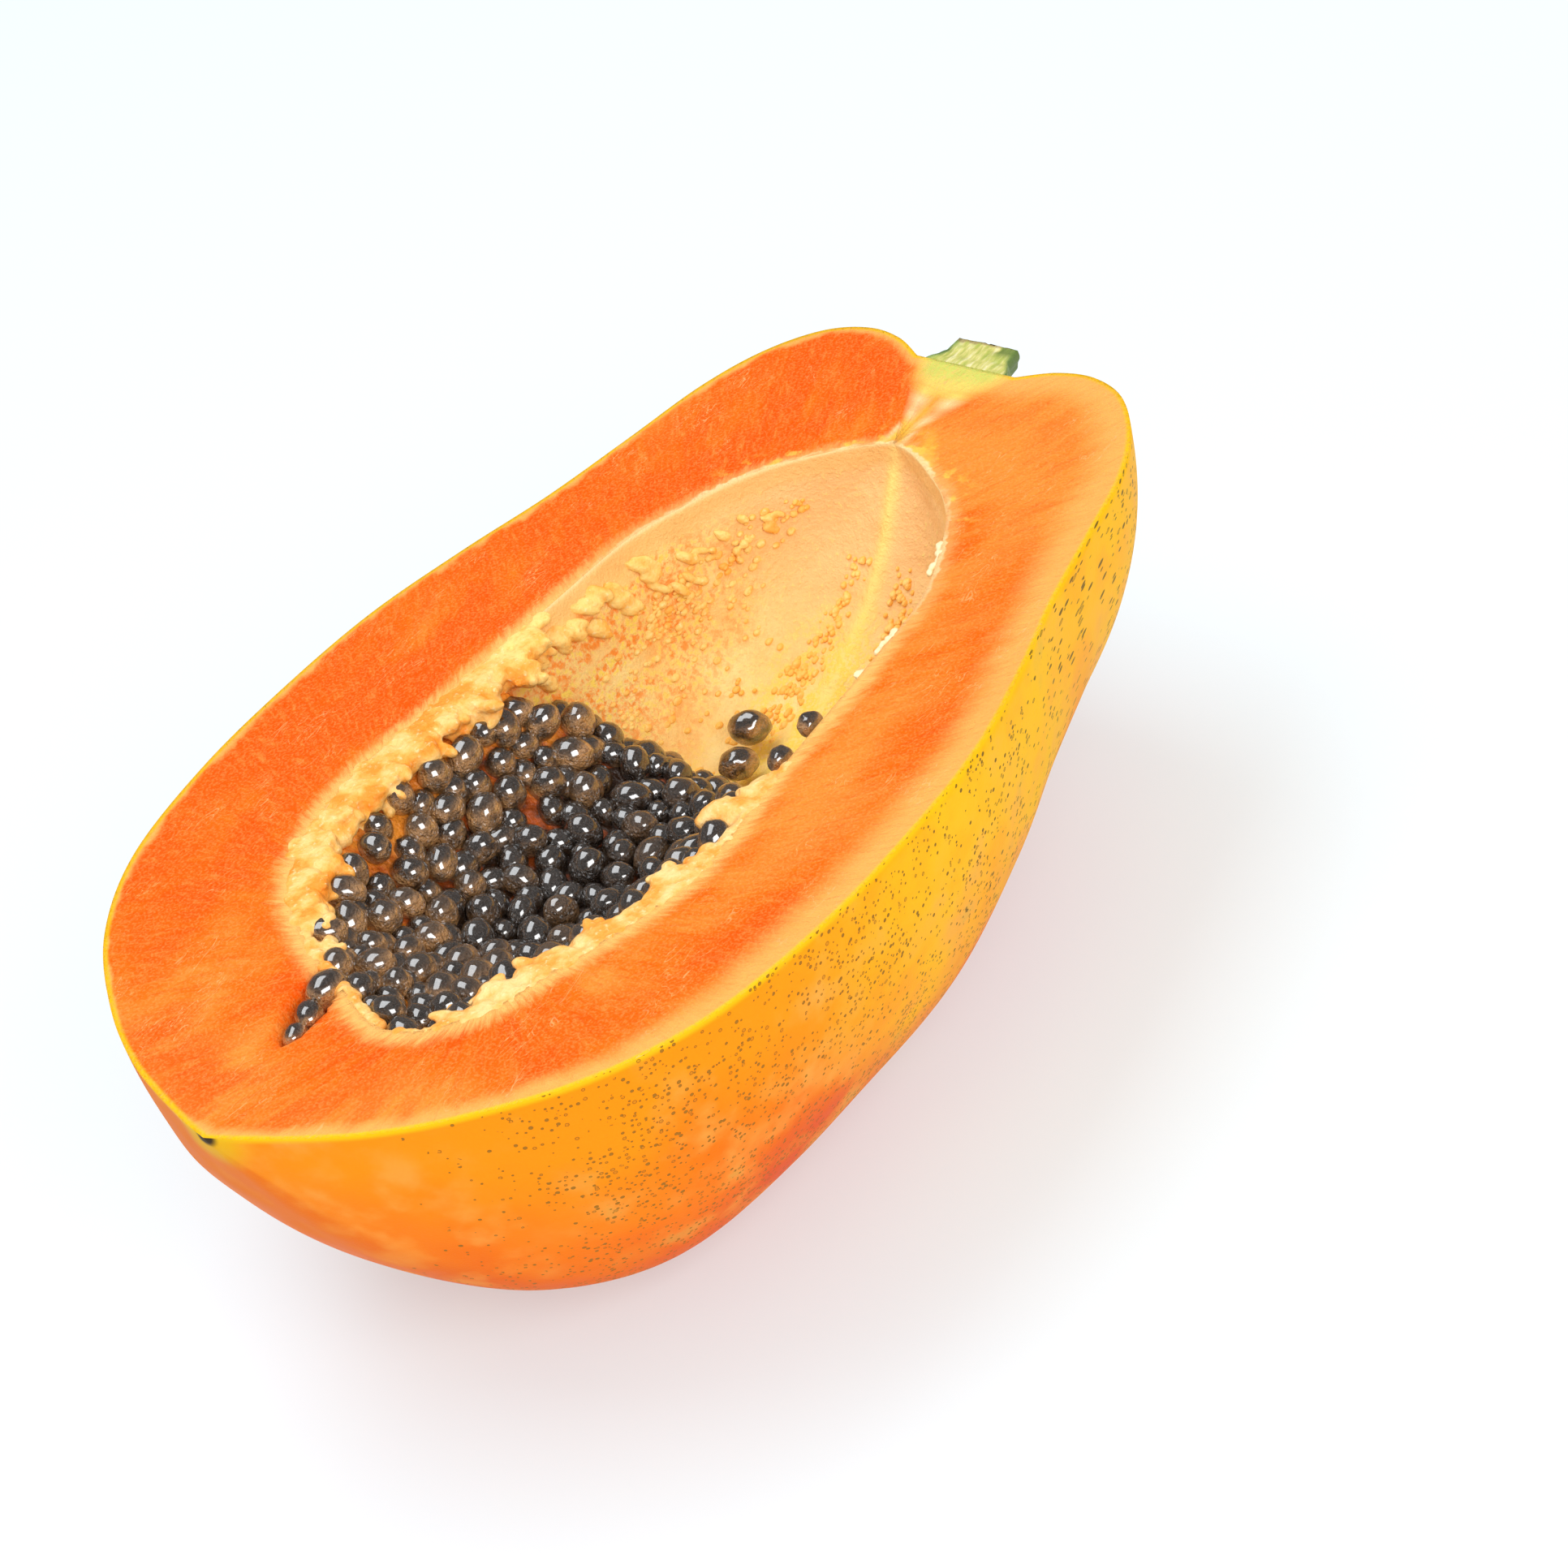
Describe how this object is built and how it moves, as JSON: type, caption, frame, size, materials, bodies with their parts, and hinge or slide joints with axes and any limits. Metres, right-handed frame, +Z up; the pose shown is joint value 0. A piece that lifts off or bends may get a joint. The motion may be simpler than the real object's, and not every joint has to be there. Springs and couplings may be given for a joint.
{
  "type": "halved papaya",
  "caption": "Half of a ripe papaya, cut lengthwise, lying on its round back with flesh, seed cavity, a bed of dark seeds and a cut stem stub showing.",
  "frame": {"origin": "middle of the base, on the surface that the half rests on", "axes": "+X from the blossom tip to the stem, +Z up out of the level cut face"},
  "size_m": [0.2116, 0.1268, 0.0713],
  "materials": {
    "flesh": "moist orange flesh with a yellow-orange satin skin",
    "seed": "wet, very glossy dark brown",
    "stem": "matt green, pale where it is cut"
  },
  "bodies": {
    "root": {"papaya_half": "flesh", "seeds": "seed", "seed_stray_1": "seed", "seed_stray_2": "seed", "seed_stray_3": "seed", "seed_stray_4": "seed", "stem_stub": "stem"}
  },
  "joints": []
}
